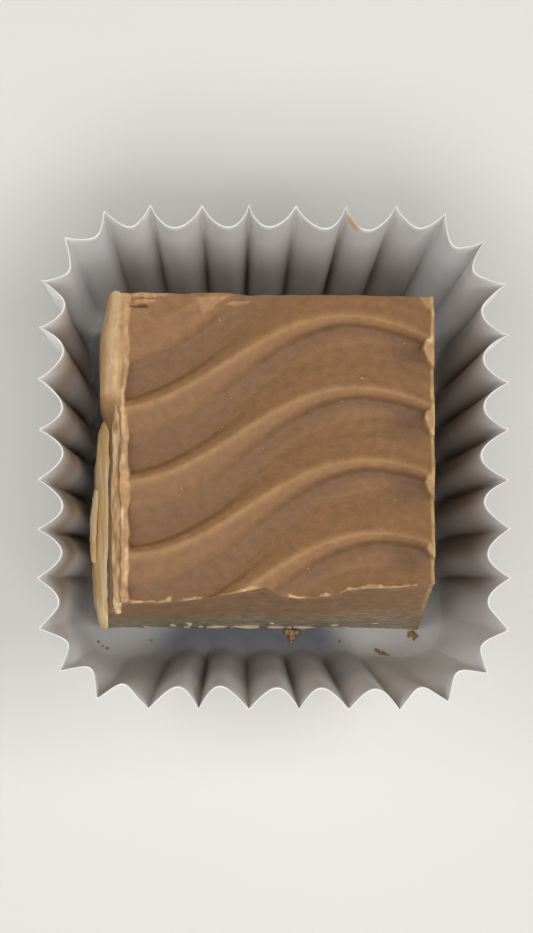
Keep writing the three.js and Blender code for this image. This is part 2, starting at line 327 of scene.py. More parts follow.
def hump(value, middle, half):
    """1 in the middle, falling off on both sides as a bell does."""
    return np.exp(-((value - middle) / half) ** 2)


def wander(along, spacing, seed, knots=WANDER_KNOTS):
    """A soft random line from -1 to 1: random heights at each spacing, joined by smooth steps."""
    heights = np.random.default_rng(seed).uniform(-1, 1, knots)
    place = np.asarray(along) / spacing
    before = np.floor(place).astype(int)
    share = smooth_step(place - before, 0, 1)
    return blend(heights[before % knots], heights[(before + 1) % knots], share)


def relief(across, along, spacing, seed):
    """A soft random relief from -1 to 1: random heights on a square net, joined by smooth steps."""
    heights = np.random.default_rng(seed).uniform(-1, 1, (WANDER_KNOTS, WANDER_KNOTS))
    column, row = np.floor(across / spacing).astype(int), np.floor(along / spacing).astype(int)
    share_x = smooth_step(across / spacing - column, 0, 1)
    share_y = smooth_step(along / spacing - row, 0, 1)
    left, right = column % WANDER_KNOTS, (column + 1) % WANDER_KNOTS
    near, far = [blend(heights[line % WANDER_KNOTS, left], heights[line % WANDER_KNOTS, right], share_x)
                 for line in (row, row + 1)]
    return blend(near, far, share_y)


# %% [markdown]
# ## The combed top
# A toothed comb was pulled across the soft slab with a swing of the hand. It left ridges at one
# pitch that all follow the same wave. Each ridge has a bead along its crest, a shoulder on one flank
# and a steep drop on the other, and the steep flank changes sides along the pull as the comb turned.
# A height for each plan point says all of that, so the top is a height field and needs no modelling
# by hand.

# %% Comb wave and ridge profile
CUBE_FLOOR = 0.35
CUBE_TOP = 20.05
RIDGE_PITCH = 5.92
RIDGE_HEIGHT = 1.2
LEFT_HEIGHT_SHARE = 0.85
FIRST_RIDGE_Y = 7.12
COMB_WAVE = 41
COMB_SWING = 3.85
COMB_MIDDLE = -3
COMB_SLANT = 0.14
# Reach of a ridge's front and back flank, as shares of the pitch, at places along the pull in mm
FLANK_PULLS = [-12, -5, 2, 7, 10]
FRONT_REACH = [0.38, 0.33, 0.19, 0.10, 0.10]
BACK_REACH = [0.10, 0.15, 0.28, 0.33, 0.38]
# A flank from the crest outwards, in parts of its reach: bead, shoulder, drop and trough
FLANK_PLACES = [0, 0.15, 0.35, 0.8, 1.05, 1.25, 1.8]
FLANK_HEIGHTS = [1, 0.95, 0.8, 0.63, 0.38, 0.15, 0.05]
# The same for a back flank where the comb has turned: it falls gently all the way
GENTLE_HEIGHTS = [1, 0.95, 0.82, 0.56, 0.42, 0.31, 0.08]
GENTLE_PULLS = (-9, 1)
ROUNDING = np.linspace(-0.022, 0.022, 7)
# The comb turns between these places along the pull
TURN_PULLS = (-9, 7)
# Behind the last full trough the comb left a level corner
LEVEL_PITCHES = (0.55, 0.85)
LEVEL_PULLS = (-9.5, 1.5)
LEVEL_SHARE = 0.82


def under_comb(x, y):
    """Distance along the pull, and the number of pitches behind the first crest, of a plan point."""
    pull = x + COMB_SLANT * y
    swing = COMB_SWING * np.sin(2 * np.pi * (pull - COMB_MIDDLE) / COMB_WAVE)
    return pull, (y - swing - FIRST_RIDGE_Y) / RIDGE_PITCH


def flanks(pull, pitches):
    """How far down a ridge's back flank and the next one's front flank, in parts of each reach."""
    share = pitches % 1
    back = share / np.interp(pull, FLANK_PULLS, BACK_REACH)
    front = (1 - share) / np.interp(pull, FLANK_PULLS, FRONT_REACH)
    return back, front


def level_corner(pull, pitches):
    """Share of the level corner: it starts behind the last trough and fades along the pull."""
    return smooth_step(pitches, *LEVEL_PITCHES) * (1 - smooth_step(pull, *LEVEL_PULLS))


def combed_height(x, y):
    """Height of the combed top: the higher of two flanks, averaged over a short stretch."""
    pull, pitches = under_comb(x, y)
    gentle = smooth_step(pull, *GENTLE_PULLS)
    shares = []
    for shift in ROUNDING:
        back, front = flanks(pull, pitches + shift)
        crisp_back = np.interp(back, FLANK_PLACES, FLANK_HEIGHTS)
        gentle_back = np.interp(back, FLANK_PLACES, GENTLE_HEIGHTS)
        front_height = np.interp(front, FLANK_PLACES, FLANK_HEIGHTS)
        shares.append(np.maximum(blend(crisp_back, gentle_back, gentle), front_height))
    share = blend(np.mean(shares, axis=0), LEVEL_SHARE, level_corner(pull, pitches))
    tall = RIDGE_HEIGHT * blend(LEFT_HEIGHT_SHARE, 1, smooth_step(pull, *TURN_PULLS))
    return CUBE_TOP - tall * (1 - share)


# %% Tone of the combed top
# 0 is the dark of a narrow trough, a half is plain nougat and 1 is the bead on a crest. Besides the
# nougat's own colour the tone holds painted light and shade: the front crevice and the left troughs are
# painted darker, the back flank and a ledge lighter, and the bead carries a painted highlight
BEAD_HALF = 0.075
LEFT_BEAD_TONE = 1.0
RIGHT_BEAD_TONE = 0.85
SHOULDER_TONE = 0.4
LEFT_TROUGH_TONE = 0.2
RIGHT_TROUGH_TONE = 0.41
LEVEL_TONE = 0.5
TROUGH_EDGES = (0.8, 1.3)
CREVICE_PLACE = 1.2
CREVICE_HALF = 0.45
CREVICE_TAIL = 1.0
# Painted shade in the front crevice; painted light on the back flank and on a ledge
CREVICE_DARK = 0.35
PAINTED_FLANK_LIGHT = 0.22
LEDGE_PLACE = 0.65
LEDGE_HALF = 0.25
LEDGE_LIGHT = 0.09


def combed_tone(x, y):
    """Tone of a plan point: shoulder or trough, painted shade in the front crevice, painted light on the
    back flank and ledge, and a partly painted highlight on the bead.
    """
    pull, pitches = under_comb(x, y)
    back, front = flanks(pull, pitches)
    turned = smooth_step(pull, *TURN_PULLS)
    trough_tone = blend(LEFT_TROUGH_TONE, RIGHT_TROUGH_TONE, turned)
    tone = blend(SHOULDER_TONE, trough_tone, smooth_step(np.minimum(back, front), *TROUGH_EDGES))
    crevice_half = np.where(front < CREVICE_PLACE, CREVICE_HALF, CREVICE_TAIL)
    tone = tone - CREVICE_DARK * turned ** 2 * hump(front, CREVICE_PLACE, crevice_half)
    tone = tone + PAINTED_FLANK_LIGHT * (1 - turned) * hump(back, CREVICE_PLACE, CREVICE_HALF)
    tone = tone + LEDGE_LIGHT * turned * hump(back, LEDGE_PLACE, LEDGE_HALF)
    from_crest = np.abs((pitches + 0.5) % 1 - 0.5)
    bead_tone = blend(LEFT_BEAD_TONE, RIGHT_BEAD_TONE, turned)
    tone = blend(tone, bead_tone, hump(from_crest, 0, BEAD_HALF))
    return blend(tone, LEVEL_TONE, level_corner(pull, pitches))


# %% Fine drag lines of the comb
DRAG_DEPTH = 0.018
DRAG_SPACING = 0.42
DRAG_STEADY = 0.6
DRAG_FADING = 0.4
SWELL_DEPTH = 0.035
SWELL_SPACING = 3.1


def drag_lines(x, y):
    """Small heights: lines that run with the comb and fade along it, and a soft swell."""
    pull, pitches = under_comb(x, y)
    lines = wander(pitches * RIDGE_PITCH + START, DRAG_SPACING, seed=11)
    strength = DRAG_STEADY + DRAG_FADING * wander(pull + START, spacing=4.0, seed=12)
    swell = relief(x + START, y + START, SWELL_SPACING, seed=13)
    return DRAG_DEPTH * lines * strength + SWELL_DEPTH * swell


# %% [markdown]
# ## The knife's edges
# The slab was cut with a knife that dragged the soft nougat along. On the left it pushed up a wavy
# lip, on the right it pulled the end of each crest into a small petal, along the front it left a thin
# broken line and a bite, and at the back a slit and a few flakes. Lips are part of the height field:
# near an edge the height is raised towards the level of the crests, with a border that wanders.

# %% Cut lines in plan
LEFT_EDGE = -12.5
RIGHT_EDGE = 12.9
BACK_EDGE = 12.8
FRONT_EDGE_X = [-12.6, -8.0, -6.1, -2.9, -0.85, 1.0, 2.4, 5.06, 5.76, 9.5, 12.9]
FRONT_EDGE_Y = [-12.5, -12.35, -12.15, -11.65, -11.2, -11.95, -12.05, -11.75, -11.35, -11.2, -10.8]
EDGE_WOBBLE = 0.06
LEFT_WOBBLE = 0.12
RIGHT_WOBBLE = 0.036


def left_edge(y):
    """X of the left cut at the top: a straight line with two sizes of wobble."""
    broad = LEFT_WOBBLE * wander(y + START, spacing=2.7, seed=21)
    return LEFT_EDGE + broad + EDGE_WOBBLE * wander(y + START, spacing=0.6, seed=22)


def right_edge(y):
    """X of the right cut at the top: nearly straight."""
    return RIGHT_EDGE + RIGHT_WOBBLE * (wander(y + START, spacing=1.3, seed=23) - 1)


def front_edge(x):
    """Y of the front cut at the top: a line with a bite in it, and a fine wobble."""
    line = np.interp(x, FRONT_EDGE_X, FRONT_EDGE_Y)
    return line + EDGE_WOBBLE * wander(x + START, spacing=0.7, seed=24)


def back_edge(x):
    """Y of the back cut at the top: nearly straight."""
    return BACK_EDGE + EDGE_WOBBLE * (wander(x + START, spacing=1.1, seed=25) - 1)


# %% Left lip
BORDER = 0.09
LIP_WIDTH = 0.56
LIP_SWAY = 0.24
LIP_RIPPLE = 0.1
# Levels against the crests
LIP_DROP = 0.16
LIP_HEAVE = 0.1
LIP_DOME = 0.12
LIP_FIBRES = 0.05
FIBRE_FINENESS = 7


def left_lip(x, y):
    """Cover and level of the left lip: a fibrous dome between the edge and a wandering border."""
    from_left = x - left_edge(y)
    sway = LIP_SWAY * wander(y + START, spacing=3.1, seed=31)
    width = LIP_WIDTH + sway + LIP_RIPPLE * wander(y + START, spacing=0.8, seed=32)
    fibrous = relief(FIBRE_FINENESS * x + START, y + START, spacing=1.3, seed=38)
    dome = LIP_DOME * np.sin(np.pi * np.clip(from_left / width, 0, 1)) + LIP_FIBRES * fibrous
    level = CUBE_TOP - LIP_DROP + LIP_HEAVE * wander(y + START, spacing=1.2, seed=33) + dome
    return smooth_step(width - from_left, -BORDER, BORDER), level


# %% Petals of the right edge and the painted shadows beside them
# Each petal: Y of the crest's end, greatest width, length
PETALS = [(9.2, 1.15, 2.7), (3.4, 1.05, 2.6), (-1.9, 1.0, 2.3), (-7.5, 0.85, 1.5)]
PETAL_BORDER = 0.3
PETAL_PLACES = [-0.12, 0.06, 0.3, 0.6, 0.85, 1.0]
PETAL_WIDTHS = [0, 0.8, 1, 0.72, 0.28, 0]
# Painted shadow beside each petal: its inset from the right edge, its place before the crest's end, its
# half sizes and its darkness
PETAL_SHADOW_INSET = 2.0
PETAL_SHADOW_BEFORE = 0.9
PETAL_SHADOW_HALF_X = 1.8
PETAL_SHADOW_HALF_Y = 1.5
PETAL_SHADOW_DARK = 0.9


def petal_cover(y, from_right):
    """Share covered by petals, and how far down its length each point is: width against a line."""
    cover = np.zeros_like(y)
    reach = np.zeros_like(y)
    for crest_y, width, length in PETALS:
        down = (crest_y - y) / length
        border = width * np.interp(down, PETAL_PLACES, PETAL_WIDTHS)
        inside = smooth_step(border - from_right, 0, PETAL_BORDER)
        reach = np.where(inside > cover, down, reach)
        cover = np.maximum(cover, inside)
    return cover, reach


def petal_shadows(x, y):
    """Share of painted shadow: soft dark ovals in the trough beside each petal."""
    cover = np.zeros_like(x)
    for crest_y, _, _ in PETALS:
        beside = (x - RIGHT_EDGE + PETAL_SHADOW_INSET) / PETAL_SHADOW_HALF_X
        before = (y - crest_y + PETAL_SHADOW_BEFORE) / PETAL_SHADOW_HALF_Y
        cover = np.maximum(cover, PETAL_SHADOW_DARK * np.exp(-beside ** 2 - before ** 2))
    return cover


# %% Slit and flakes of the back edge
SLIT_X = -12.0
SLIT_Y = 11.85
SLIT_LENGTH = 1.9
SLIT_HALF = 0.24
SLIT_SLANT = 0.25
SLIT_CORE = 0.2
# The slit opens and closes between these shares of its length
SLIT_OPENS = (0, 0.15)
SLIT_CLOSES = (0.7, 1)
# Each flake: its middle in X and Y, half length, half width and turn in radians
FLAKES = [
    (-10.2, 12.62, 1.7, 0.24, 0.03),
    (-10.9, 12.0, 1.25, 0.26, 0.12),
    (-3.0, 12.05, 0.95, 0.22, 0.2),
]
FLAKE_EDGES = (0.8, 1.1)
TORN_FLAKE = [(-6.4, 12.5), (-5.85, 10.95), (-3.8, 12.6)]
TORN_BORDER = 0.18
RAGGED_X = 0.12
RAGGED_Y = 0.06


def slit_cover(x, y):
    """Share of the slit beside the left corner: a wedge that narrows along its length."""
    along = (x - SLIT_X) / SLIT_LENGTH
    half = SLIT_HALF * (1 - np.clip(along, 0, 1)) + BORDER
    across = np.abs(y - SLIT_Y + SLIT_SLANT * along) / half
    cover = (1 - smooth_step(across, SLIT_CORE, 1)) * smooth_step(along, *SLIT_OPENS)
    return cover * (1 - smooth_step(along, *SLIT_CLOSES))


def flake_cover(x, y):
    """Share covered by flakes: long ovals with ragged borders, and one torn triangle."""
    ragged_x = x + RAGGED_X * relief(x + START, y + START, spacing=0.5, seed=36)
    ragged_y = y + RAGGED_Y * relief(x + START, y + START, spacing=0.4, seed=37)
    cover = np.zeros_like(x)
    for middle_x, middle_y, half_length, half_width, turn in FLAKES:
        along = (ragged_x - middle_x) * np.cos(turn) + (ragged_y - middle_y) * np.sin(turn)
        across = (ragged_y - middle_y) * np.cos(turn) - (ragged_x - middle_x) * np.sin(turn)
        outwards = np.hypot(along / half_length, across / half_width)
        cover = np.maximum(cover, 1 - smooth_step(outwards, *FLAKE_EDGES))
    inside = np.ones_like(x)
    for (from_x, from_y), (to_x, to_y) in zip(TORN_FLAKE, TORN_FLAKE[1:] + TORN_FLAKE[:1]):
        length = np.hypot(to_x - from_x, to_y - from_y)
        left_of = ((to_x - from_x) * (ragged_y - from_y) - (to_y - from_y) * (ragged_x - from_x)) / length
        inside = np.minimum(inside, smooth_step(left_of, -TORN_BORDER, TORN_BORDER))
    return np.maximum(cover, inside)


# %% The whole top
BURR_WIDTH = 0.3
BURR_RISE = 0.16
PETAL_LIFT = 0.05
PETAL_DROOP = 0.45
PETAL_CRUMBLE = 0.04
FRONT_LINE_WIDTH = 0.26
FRONT_LINE_SWAY = 0.6
FRONT_LINE_GAPS = (-0.35, 0.25)
FRONT_LINE_RISE = 0.1
# The right corner at the back is turned up beyond a slanting line through this point
CORNER_X = 11.6
CORNER_Y = 12.7
CORNER_SLOPE = 1.4
CORNER_BORDER = 0.2
CORNER_RISE = 0.18
SLIT_DEPTH = 0.3
FLAKE_RISE = 0.13
# How pale a dragged part is: everywhere, by its crumbling and by its tears
PALE = 0.63
PALE_CRUMBLE = 0.2
PALE_TEARS = 0.6
TEAR_FINENESS = 3
TEAR_LIMITS = (0.1, 0.7)
FRESH_BURR = 0.9
FRESH_PETAL = 0.9
FRESH_CORNER = 0.6
FRESH_FLAKE = 0.5


def raised(height, level, cover):
    """The height where cover is 0, and the level where it is 1, but never lower than before."""
    return np.maximum(height, blend(height, level, cover))


def top_surface(x, y):
    """Height, tone, fresh-cut share and lip share of the top at a plan point."""
    from_right = right_edge(y) - x
    from_front = y - front_edge(x)
    crumbly = relief(x + START, y + START, spacing=0.35, seed=38)
    lip, lip_level = left_lip(x, y)
    height = raised(combed_height(x, y) + drag_lines(x, y), lip_level, lip)
    burr = 1 - smooth_step(from_right, BURR_WIDTH - BORDER, BURR_WIDTH + BORDER)
    height = height + BURR_RISE * burr
    petal, reach = petal_cover(y, from_right)
    petal_level = CUBE_TOP + PETAL_LIFT - PETAL_DROOP * np.clip(reach, 0, 1) + PETAL_CRUMBLE * crumbly
    height = raised(height, petal_level, petal)
    broken = smooth_step(wander(x + START, spacing=0.8, seed=34), *FRONT_LINE_GAPS)
    front_width = FRONT_LINE_WIDTH * (1 + FRONT_LINE_SWAY * wander(x + START, spacing=0.5, seed=35))
    front = broken * (1 - smooth_step(from_front, front_width - BORDER, front_width + BORDER))
    beyond = CORNER_SLOPE * (x - CORNER_X) + (y - CORNER_Y)
    corner = smooth_step(beyond, 0, CORNER_BORDER)
    slit = slit_cover(x, y)
    flake = flake_cover(x, y)
    height = height + FRONT_LINE_RISE * front + CORNER_RISE * corner
    height = height - SLIT_DEPTH * slit + FLAKE_RISE * flake
    # Painted shade: the tone is darkened in the slit and in the painted shadows beside the petals
    tone = combed_tone(x, y) * (1 - slit) * (1 - petal_shadows(x, y))
    torn = smooth_step(relief(TEAR_FINENESS * x + START, y + START, spacing=1.1, seed=39), *TEAR_LIMITS)
    paleness = PALE + PALE_CRUMBLE * crumbly + PALE_TEARS * torn
    dragged = np.maximum.reduce([
        lip, front, FRESH_BURR * burr, FRESH_PETAL * petal, FRESH_CORNER * corner, FRESH_FLAKE * flake,
    ])
    return height, tone, paleness * dragged, lip


# %% [markdown]
# ## The cube
# Its skin is one closed surface. The top is a grid whose lines crowd towards the edges, where the
# detail is. The four sides are rings of points that run round the cube from the top edge down to the
# base, and one fan closes the base. On the left the smeared side bulges out quickly below the edge,
# and the other sides lean as the knife did. Fine lines run along each cut.

# %% Left side
LEFT_FOOT_FRONT = -13.6
LEFT_FOOT_BACK = -14.15
BACK_HALF = (2.2, 5.0)
FLANK_NARROWING = 0.45
FLANK_NARROWS = (9.0, 13.4)
BULGE_DEPTH_FRONT = 6.0
BULGE_DEPTH_BACK = 0.6
DRAWN_IN = 0.3
DRAWN_IN_DEPTHS = (8, 19)


def in_back_half(y):
    """Share of the left side's smeared back half: 0 in front of it and 1 well inside it."""
    return smooth_step(y, *BACK_HALF)


def left_foot(y):
    """X of the left side at the base: it flares more in the back half and narrows at its back end."""
    foot = blend(LEFT_FOOT_FRONT, LEFT_FOOT_BACK, in_back_half(y))
    return foot + FLANK_NARROWING * smooth_step(y, *FLANK_NARROWS)


def bulge_share(depth, y):
    """Share of the left side's flare at a depth: fast in the back half, drawn in at the foot."""
    bulge_depth = blend(BULGE_DEPTH_FRONT, BULGE_DEPTH_BACK, in_back_half(y))
    return (1 - np.exp(-depth / bulge_depth)) * (1 - DRAWN_IN * smooth_step(depth, *DRAWN_IN_DEPTHS))


# %% Top grid of the cube
TOP_CELLS = 236
EDGE_CROWDING = 0.3
FRONT_FOOT = -12.4
RIGHT_FOOT = 12.9
BACK_FOOT = 12.8

even = np.linspace(0, 1, TOP_CELLS + 1)
crowded = even - EDGE_CROWDING * np.sin(2 * np.pi * even) / (2 * np.pi)
share_x, share_y = np.meshgrid(crowded, crowded)
flat_x = blend(LEFT_EDGE, RIGHT_EDGE, share_x)
flat_y = blend(FRONT_FOOT, BACK_EDGE, share_y)
top_x = blend(left_edge(flat_y), right_edge(flat_y), share_x)
top_y = blend(front_edge(flat_x), back_edge(flat_x), share_y)
top_z, crest, fresh, lip = top_surface(top_x, top_y)
numbers = np.arange(top_x.size).reshape(top_x.shape)
rim = np.concatenate([numbers[0, :-1], numbers[:-1, -1], numbers[-1, :0:-1], numbers[:0:-1, 0]])
print("top grid:", top_x.shape, "rim points:", len(rim))

# %% Sides of the cube
SIDE_ROWS = 40
ROW_CROWDING = 1.3
# A burr on the back corner of the left side: how far it stands out, where, and how deep it reaches
FLANK_BURR = 0.5
FLANK_BURR_SIDE = (12.4, 13.2)
FLANK_BURR_BACK = (11.6, 12.6)
FLANK_BURR_DEPTH = 2.0

drop = (np.arange(1, SIDE_ROWS + 1) / SIDE_ROWS)[:, None] ** ROW_CROWDING
depth = drop * (CUBE_TOP - CUBE_FLOOR)
rim_x, rim_y, rim_z = top_x.ravel()[rim], top_y.ravel()[rim], top_z.ravel()[rim]
rim_share_x, rim_share_y = share_x.ravel()[rim], share_y.ravel()[rim]
foot_x = blend(left_foot(rim_y), RIGHT_FOOT, rim_share_x)
foot_y = blend(FRONT_FOOT, BACK_FOOT, rim_share_y)
side_x = blend(rim_x, foot_x, bulge_share(depth, rim_y))
flank_burr = smooth_step(-side_x, *FLANK_BURR_SIDE) * smooth_step(rim_y, *FLANK_BURR_BACK)
side_y = blend(rim_y, foot_y, drop) + FLANK_BURR * (flank_burr * np.exp(-depth / FLANK_BURR_DEPTH))
side_z = blend(rim_z, CUBE_FLOOR, drop)
print("side rows:", SIDE_ROWS, "lowest point:", side_z.min())

# %% Streaks, hollows and layers of the cuts
STREAK_DEPTH = 0.06
STREAK_SPACING = 1.1
HOLLOW_DEPTH = 0.11
HOLLOW_SPACING = 4.5
LAYER_DEPTH = 0.16
SMEARED_LAYER_DEPTH = 0.05
LAYER_SPACING = 0.9
LAYER_SWAY = 0.5
EASE_DEPTH = 0.6
# The sides take their patterns from places this far apart, so that no two are alike
SIDE_SHIFT_X = 31
SIDE_SHIFT_Y = 17

out_x = (rim_share_x == 1).astype(float) - (rim_share_x == 0)
out_y = (rim_share_y == 1).astype(float) - (rim_share_y == 0)
along = np.where(out_x != 0, rim_y, rim_x) + START + SIDE_SHIFT_X * out_x + SIDE_SHIFT_Y * out_y
along = np.broadcast_to(along, side_z.shape)
left_cut = (out_x < 0) * np.ones_like(side_x)
smeared = left_cut * in_back_half(rim_y)
streak_strength = 0.5 + 0.5 * wander(along, spacing=5.0, seed=42)
streaks = wander(side_z, STREAK_SPACING, seed=41) * streak_strength
hollows = relief(along, side_z, HOLLOW_SPACING, seed=43) - 1
swayed = depth + LAYER_SWAY * wander(along, spacing=3.5, seed=45) + START
layers = left_cut * wander(swayed, LAYER_SPACING, seed=44)
layer_depth = blend(LAYER_DEPTH, SMEARED_LAYER_DEPTH, smeared)
push = STREAK_DEPTH * streaks + HOLLOW_DEPTH * hollows + layer_depth * layers
push = smooth_step(depth, 0, EASE_DEPTH) * push
side_x = side_x + push * out_x
side_y = side_y + push * out_y
print("deepest mark in mm:", round(float(-push.min()), 2))

# %% Close the cube
side_points = points_at(side_x, side_y, side_z)
base_middle = points_at(0.0, 0.0, CUBE_FLOOR)
cube_points = np.concatenate([points_at(top_x, top_y, top_z), side_points, base_middle])
side_numbers = top_x.size + np.arange(side_x.size).reshape(side_x.shape)
rings = np.concatenate([rim[None, :], side_numbers])
upper, lower = rings[:-1], rings[1:]
side_quads = np.stack([lower, np.roll(lower, -1, axis=1), np.roll(upper, -1, axis=1), upper], axis=-1)
cube_quads = np.concatenate([grid_faces(*top_x.shape), side_quads.reshape(-1, 4)])
base_fan = fan_faces(len(cube_points) - 1, rings[-1][::-1])
print("cube points:", len(cube_points))

# %% Note what each point of the cube is
EDGE_LIGHT = 0.55
EDGE_LIGHT_DEPTH = 0.25
SMEAR = 1.15
SMEAR_BY_LAYER = 0.2
SMEAR_DEPTH = 20.0
# Pale broken lines run down the front cut beside its right and left end: partly pale dragged nougat,
# partly a painted highlight on the corner edges
EDGE_LINE_LIGHT = 0.9
EDGE_LINE_LIGHT_SWAY = 0.5
RIGHT_LINE = (RIGHT_EDGE - 0.55, RIGHT_EDGE - 0.25)
LEFT_LINE = (LEFT_EDGE + 0.5, LEFT_EDGE + 0.9)
LEFT_LINE_DEPTHS = (7, 11)

edge_light = np.exp(-depth / EDGE_LIGHT_DEPTH) * np.ones_like(side_x)
smear = smeared * (SMEAR + SMEAR_BY_LAYER * layers) * np.exp(-depth / SMEAR_DEPTH)
edge_line_light = (out_y < 0) * (EDGE_LINE_LIGHT + EDGE_LINE_LIGHT_SWAY * wander(depth + START, spacing=1.3, seed=46))
right_line = edge_line_light * smooth_step(rim_x, *RIGHT_LINE)
left_line = edge_line_light * (1 - smooth_step(rim_x, *LEFT_LINE))
left_line = left_line * (1 - smooth_step(depth, *LEFT_LINE_DEPTHS))
side_fresh = np.maximum.reduce([EDGE_LIGHT * edge_light, smear, right_line, left_line])
pull, pitches = under_comb(top_x, top_y)
top_along = np.where(lip > 0.5, top_y, pull)
top_across = np.where(lip > 0.5, top_x, pitches * RIDGE_PITCH)
cube_notes = {
    "crest": np.concatenate([crest.ravel(), np.zeros(side_x.size + 1)]),
    "fresh": np.concatenate([fresh.ravel(), side_fresh.ravel(), [0]]),
    "cut": np.concatenate([np.zeros(top_x.size), np.ones(side_x.size + 1)]),
    "pull": np.concatenate([top_along.ravel(), along.ravel(), [0]]),
    "across": np.concatenate([top_across.ravel(), side_z.ravel(), [0]]),
}


def nougat_notes(count, **known):
    """Notes for a smaller piece of nougat: 0 at each point, apart from what is known."""
    return {title: np.zeros(count) + known.get(title, 0) for title in cube_notes}


print("notes:", sorted(cube_notes), "fresh share:", round(float(fresh.mean()), 3))

# %% [markdown]
# ## Nut nougat
# Nut nougat is cocoa and nut paste set with fat. Its skin is smooth and waxy: a broad dull sheen, and
# a little light that goes in and comes out again. Crests are warmer and lighter and troughs greyer,
# partly in the nougat's own colour and partly as painted highlight and shade, and freshly dragged lips
# are pale, with fibres along the knife's way. The cut sides show ground nuts as flecks along the cut,
# most of them low down. The comb's own lines are too fine for the mesh, so they are a bump that follows
# the pull.

# %% Colour of the combed skin
PLAIN_TONE = 0.5

nougat, tree, shader, where = new_material("combed_nut_nougat")
notes = noted(tree, cube_notes)
# The noted tone mixes trough, shoulder and bead colours, so its painted shade and highlight show here
shoulder_share = share_between(tree, notes["crest"], 0, PLAIN_TONE, rise="LINEAR")
bead_share = share_between(tree, notes["crest"], PLAIN_TONE, 1, rise="LINEAR")
shoulder = mixed(tree, shoulder_share, "#6b4f39", "#8d6846")
ridged = mixed(tree, bead_share, shoulder, "#a07b53")
blotches = noise(tree, where, scale=per_size(0.7), detail=5.0)
blotched = mixed(tree, blotches, "#666666", "#f0f0f0")
print("nodes for the skin:", len(tree.nodes))

# %% Colour of the cut sides
NUTS_FROM_HEIGHT = 11.0
NUTS_FULL_HEIGHT = 2.0
FLECK_LIMITS = (0.55, 0.63)
STREAK_LIMITS = (0.35, 0.65)
STREAK_SHARE = 0.55

cut_place = add_node(tree, "CombineXYZ", {"X": notes["pull"], "Y": notes["across"]}).outputs["Vector"]
flecks = noise(tree, stretched(tree, cut_place, (1.5, 2.8, 1.0)), scale=1.0, detail=3.0)
streak = noise(tree, stretched(tree, cut_place, (0.9, 1.7, 1.0)), scale=1.0, detail=5.0)
fleck_share = share_between(tree, flecks, *FLECK_LIMITS)
low_share = share_between(tree, notes["across"], NUTS_FROM_HEIGHT, NUTS_FULL_HEIGHT)
nut_share = add_node(tree, "Math", {0: fleck_share, 1: low_share}, operation="MULTIPLY").outputs[0]
nutty = mixed(tree, low_share, "#a98462", "#d2bfa6")
streaked = mixed(tree, share_between(tree, streak, *STREAK_LIMITS, STREAK_SHARE), nutty, "#7a6450")
cut_face = mixed(tree, nut_share, streaked, "#dccfae")
skin = mixed(tree, notes["cut"], ridged, cut_face)
print("nodes with the cut sides:", len(tree.nodes))

# %% Colour of dragged parts
TORN_FRESHNESS = (1.0, 1.8)
MOTTLING = 0.36
FIBRE_CONTRAST = 0.35

dragged = mixed(tree, notes["fresh"], skin, "#c49e70")
torn_share = share_between(tree, notes["fresh"], *TORN_FRESHNESS, rise="LINEAR")
torn_pale = mixed(tree, torn_share, dragged, "#e6cfb0")
mottled = mixed(tree, MOTTLING, torn_pale, blotched, how="OVERLAY")
fibre = noise(tree, stretched(tree, cut_place, (0.6, 4.0, 1.0)), scale=1.0, detail=2.0)
fibre_tone = mixed(tree, fibre, "#000000", "#ffffff")
fibre_sockets = {0: notes["fresh"], 1: FIBRE_CONTRAST}
fibre_share = add_node(tree, "Math", fibre_sockets, operation="MULTIPLY", use_clamp=True).outputs[0]
fibred = mixed(tree, fibre_share, mottled, fibre_tone, how="OVERLAY")
print("nodes with the dragged parts:", len(tree.nodes))

# %% Sheen and bump of the nougat
SHARP_DEGREES = 50

drag = noise(tree, stretched(tree, cut_place, (0.12, 3.0, 1.0)), scale=1.0, detail=2.0)
grain = noise(tree, where, scale=per_size(0.28), detail=2.0)
drag_bump = bump(tree, drag, strength=0.15, millimetres=0.08)
gloss = add_node(tree, "MapRange", {"Value": blotches, "To Min": 0.5, "To Max": 0.68})
fill(tree, shader, {
    "Base Color": fibred,
    "Normal": bump(tree, grain, strength=0.6, millimetres=0.08, Normal=drag_bump),
    "Roughness": gloss.outputs["Result"],
    "IOR": 1.45,
    "Specular IOR Level": 0.3,
    "Subsurface Weight": 0.15,
    "Subsurface Radius": (1.0, 0.5, 0.25),
    "Subsurface Scale": 0.5 * MM,
})

cube_shape = (cube_points, cube_quads, base_fan)
cube = make_piece("combed_cube", cube_shape, nougat, cube_notes, SHARP_DEGREES)
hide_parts("nougat_cube")

# %% [markdown]
# ## Shavings
# The knife also split thin strips off. A long shaving stands off the left side in a few layers, and a
# torn ribbon lies along that edge. Each strip is a flat oval carried along a path and drawn in at both
# ends, which is quick to shape and always closed.

# %% Ribbon along a path
RIBBON_AROUND = 12
RIBBON_STEPS = 96
RIBBON_SMOOTHINGS = 6
TIP_SHARE = 0.12
# Lengths of the frayed stretches as shares of the ribbon, and where each side's fraying starts
FRAY = 1 / 15
FINE_FRAY = 1 / 44
FINE_FRAY_SHARE = 0.5
FRAY_STARTS = (5, 9)


